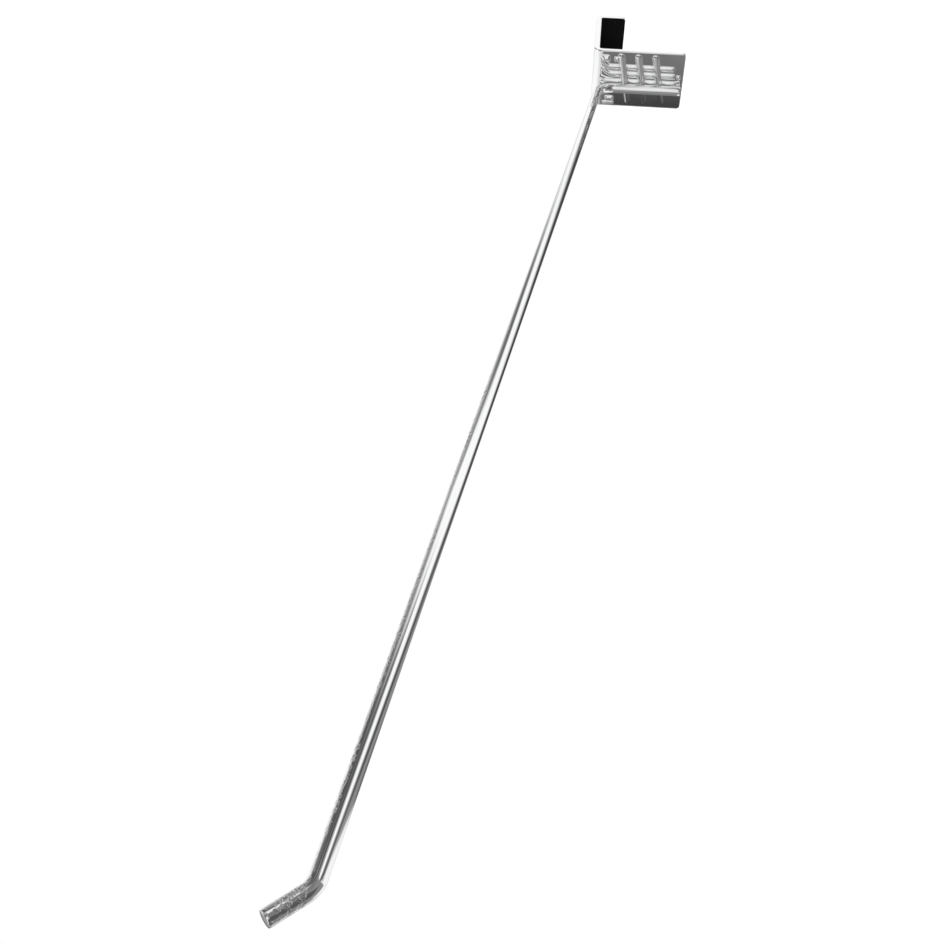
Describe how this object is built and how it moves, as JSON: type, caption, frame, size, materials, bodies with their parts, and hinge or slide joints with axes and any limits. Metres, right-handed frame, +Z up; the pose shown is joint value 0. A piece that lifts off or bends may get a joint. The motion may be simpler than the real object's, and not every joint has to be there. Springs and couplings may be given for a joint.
{
  "type": "rail display hook",
  "caption": "Plated steel hook for a rectangular rail: folded J-shaped sheet bracket with pressed ribs and a welded straight wire arm that rises to a short upturned tip.",
  "frame": {"origin": "middle of the web's underside, the face that rests on the rail", "axes": "+Z up as it hangs, -Y forwards along the arm, +X across the bracket"},
  "size_m": [0.025, 0.4527, 0.0922],
  "materials": {
    "plated_sheet": "bright plated sheet, slightly wavy",
    "plated_wire": "bright plated drawn wire"
  },
  "bodies": {
    "root": {"bracket": "plated_sheet", "wire_arm": "plated_wire"}
  },
  "joints": []
}
